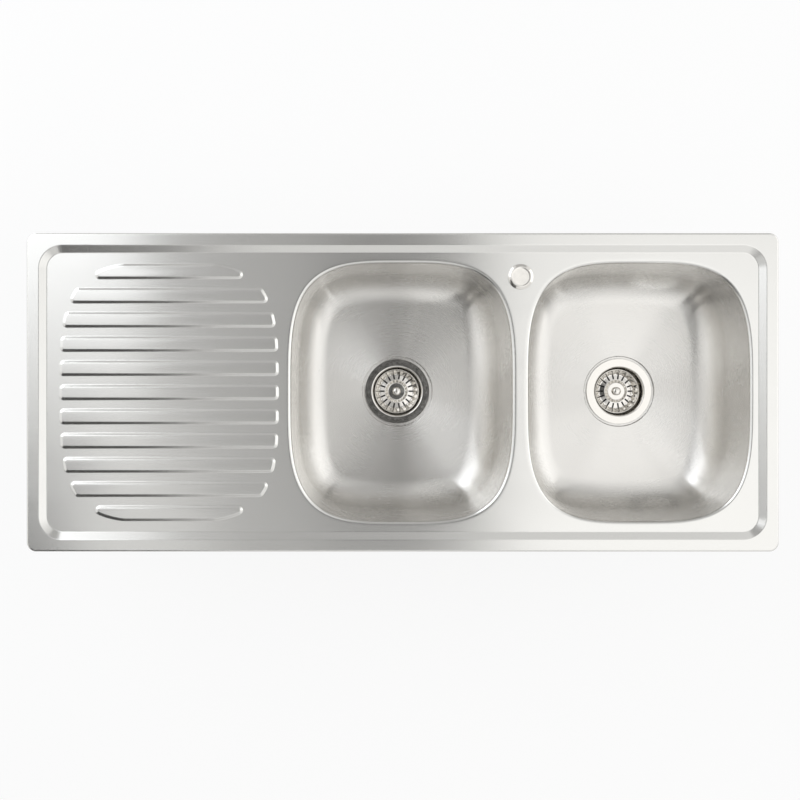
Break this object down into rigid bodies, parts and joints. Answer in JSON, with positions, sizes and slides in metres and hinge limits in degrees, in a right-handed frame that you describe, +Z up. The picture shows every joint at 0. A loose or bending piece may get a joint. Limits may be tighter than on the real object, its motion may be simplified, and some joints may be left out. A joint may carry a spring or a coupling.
{
  "type": "inset kitchen sink",
  "caption": "Stainless steel inset kitchen sink with a ribbed drainer on the left, two equal bowls, lift-out basket strainers, a capped tap hole and swinging worktop clips.",
  "frame": {"origin": "centre of the sink's outline, on the plane of the worktop's upper face", "axes": "+X along the length, from the drainer to the far bowl; +Y to the wall, where the tap hole is; +Z up"},
  "size_m": [1.18, 0.5, 0.2589],
  "materials": {
    "satin_steel": "satin stainless sheet",
    "bowl_steel": "satin stainless sheet, deep drawn",
    "polished_steel": "bright stainless",
    "zinc_steel": "zinc-plated steel",
    "rubber": "black rubber",
    "foam": "grey closed-cell foam",
    "sound_deadening": "black bitumen sheet",
    "waste_plastic": "black polypropylene",
    "white_plastic": "white nylon"
  },
  "bodies": {
    "sink": {"deck": "satin_steel", "rim_seal": "foam", "left_bowl": "bowl_steel", "left_sound_pad": "sound_deadening", "left_strainer_cup": "polished_steel", "left_cup_gasket": "rubber", "left_lower_gasket": "rubber", "left_waste_body": "waste_plastic", "left_waste_screw": "polished_steel", "right_bowl": "bowl_steel", "right_sound_pad": "sound_deadening", "right_strainer_cup": "polished_steel", "right_cup_gasket": "rubber", "right_lower_gasket": "rubber", "right_waste_body": "waste_plastic", "right_waste_screw": "polished_steel", "tap_hole_cap": "polished_steel", "tap_cap_seal": "rubber", "tap_cap_stud": "zinc_steel", "tap_cap_washer": "white_plastic", "tap_cap_wing_nut": "zinc_steel", "front_clip_1_bracket": "zinc_steel", "front_clip_2_bracket": "zinc_steel", "front_clip_3_bracket": "zinc_steel", "front_clip_4_bracket": "zinc_steel", "back_clip_1_bracket": "zinc_steel", "back_clip_2_bracket": "zinc_steel", "back_clip_3_bracket": "zinc_steel", "back_clip_4_bracket": "zinc_steel"},
    "left_basket": {"left_basket": "polished_steel", "left_basket_knob": "polished_steel", "left_basket_stem": "white_plastic", "left_basket_seal": "rubber"},
    "right_basket": {"right_basket": "polished_steel", "right_basket_knob": "polished_steel", "right_basket_stem": "white_plastic", "right_basket_seal": "rubber"},
    "front_clip_1_screw": {"front_clip_1_screw": "zinc_steel"},
    "front_clip_1_foot": {"front_clip_1_foot": "zinc_steel"},
    "front_clip_2_screw": {"front_clip_2_screw": "zinc_steel"},
    "front_clip_2_foot": {"front_clip_2_foot": "zinc_steel"},
    "front_clip_3_screw": {"front_clip_3_screw": "zinc_steel"},
    "front_clip_3_foot": {"front_clip_3_foot": "zinc_steel"},
    "front_clip_4_screw": {"front_clip_4_screw": "zinc_steel"},
    "front_clip_4_foot": {"front_clip_4_foot": "zinc_steel"},
    "back_clip_1_screw": {"back_clip_1_screw": "zinc_steel"},
    "back_clip_1_foot": {"back_clip_1_foot": "zinc_steel"},
    "back_clip_2_screw": {"back_clip_2_screw": "zinc_steel"},
    "back_clip_2_foot": {"back_clip_2_foot": "zinc_steel"},
    "back_clip_3_screw": {"back_clip_3_screw": "zinc_steel"},
    "back_clip_3_foot": {"back_clip_3_foot": "zinc_steel"},
    "back_clip_4_screw": {"back_clip_4_screw": "zinc_steel"},
    "back_clip_4_foot": {"back_clip_4_foot": "zinc_steel"}
  },
  "joints": [
    {"name": "left_basket_lift", "type": "slide", "parent": "sink", "child": "left_basket", "axis": [0, 0, 1], "range_m": [0, 0.22]},
    {"name": "right_basket_lift", "type": "slide", "parent": "sink", "child": "right_basket", "axis": [0, 0, 1], "range_m": [0, 0.22]},
    {"name": "front_clip_1_tighten", "type": "slide", "parent": "sink", "child": "front_clip_1_screw", "axis": [0, 0, 1], "range_m": [0, 0.014]},
    {"name": "front_clip_1_swing", "type": "hinge", "parent": "front_clip_1_screw", "child": "front_clip_1_foot", "pos_m": [-0.52, -0.21, -0.051], "axis": [0, 0, -1], "range_deg": [0, 90]},
    {"name": "front_clip_2_tighten", "type": "slide", "parent": "sink", "child": "front_clip_2_screw", "axis": [0, 0, 1], "range_m": [0, 0.014]},
    {"name": "front_clip_2_swing", "type": "hinge", "parent": "front_clip_2_screw", "child": "front_clip_2_foot", "pos_m": [-0.205, -0.21, -0.051], "axis": [0, 0, 1], "range_deg": [0, 90]},
    {"name": "front_clip_3_tighten", "type": "slide", "parent": "sink", "child": "front_clip_3_screw", "axis": [0, 0, 1], "range_m": [0, 0.014]},
    {"name": "front_clip_3_swing", "type": "hinge", "parent": "front_clip_3_screw", "child": "front_clip_3_foot", "pos_m": [0.1855, -0.21, -0.051], "axis": [0, 0, -1], "range_deg": [0, 90]},
    {"name": "front_clip_4_tighten", "type": "slide", "parent": "sink", "child": "front_clip_4_screw", "axis": [0, 0, 1], "range_m": [0, 0.014]},
    {"name": "front_clip_4_swing", "type": "hinge", "parent": "front_clip_4_screw", "child": "front_clip_4_foot", "pos_m": [0.52, -0.21, -0.051], "axis": [0, 0, -1], "range_deg": [0, 90]},
    {"name": "back_clip_1_tighten", "type": "slide", "parent": "sink", "child": "back_clip_1_screw", "axis": [0, 0, 1], "range_m": [0, 0.014]},
    {"name": "back_clip_1_swing", "type": "hinge", "parent": "back_clip_1_screw", "child": "back_clip_1_foot", "pos_m": [-0.52, 0.21, -0.051], "axis": [0, 0, 1], "range_deg": [0, 90]},
    {"name": "back_clip_2_tighten", "type": "slide", "parent": "sink", "child": "back_clip_2_screw", "axis": [0, 0, 1], "range_m": [0, 0.014]},
    {"name": "back_clip_2_swing", "type": "hinge", "parent": "back_clip_2_screw", "child": "back_clip_2_foot", "pos_m": [-0.205, 0.21, -0.051], "axis": [0, 0, -1], "range_deg": [0, 90]},
    {"name": "back_clip_3_tighten", "type": "slide", "parent": "sink", "child": "back_clip_3_screw", "axis": [0, 0, 1], "range_m": [0, 0.014]},
    {"name": "back_clip_3_swing", "type": "hinge", "parent": "back_clip_3_screw", "child": "back_clip_3_foot", "pos_m": [0.1855, 0.21, -0.051], "axis": [0, 0, 1], "range_deg": [0, 90]},
    {"name": "back_clip_4_tighten", "type": "slide", "parent": "sink", "child": "back_clip_4_screw", "axis": [0, 0, 1], "range_m": [0, 0.014]},
    {"name": "back_clip_4_swing", "type": "hinge", "parent": "back_clip_4_screw", "child": "back_clip_4_foot", "pos_m": [0.52, 0.21, -0.051], "axis": [0, 0, 1], "range_deg": [0, 90]}
  ]
}
